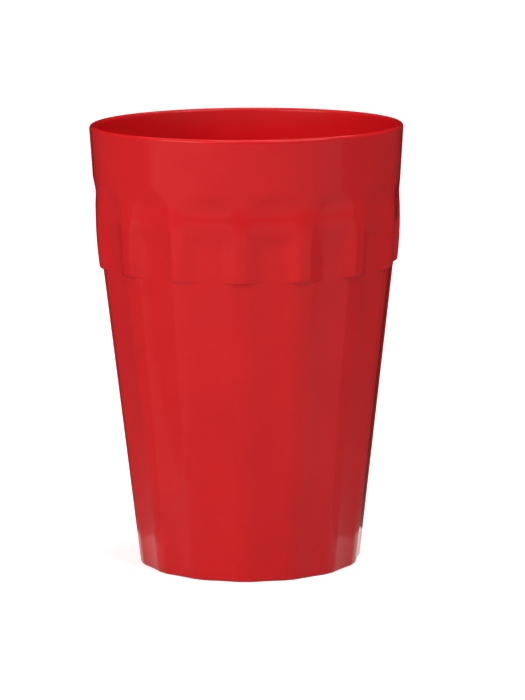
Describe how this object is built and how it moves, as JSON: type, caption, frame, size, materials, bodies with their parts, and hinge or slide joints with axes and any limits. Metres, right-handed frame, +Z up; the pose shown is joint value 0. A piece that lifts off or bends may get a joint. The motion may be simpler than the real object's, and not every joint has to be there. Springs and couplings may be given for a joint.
{
  "type": "stacking tumbler",
  "caption": "Plastic drinking tumbler with a plain rim collar, hollow flutes that arch under it, a stacking shoulder and a tapering body on a ringed foot.",
  "frame": {"origin": "centre of the foot ring, on the plane that the tumbler stands on", "axes": "+Z up along the tumbler's axis; -Y is the front, and one ridge between two flutes faces it; +X is to the right seen from the front"},
  "size_m": [0.089, 0.089, 0.126],
  "materials": {
    "tumbler": "gloss red, solid through"
  },
  "bodies": {
    "root": {"tumbler": "tumbler"}
  },
  "joints": []
}
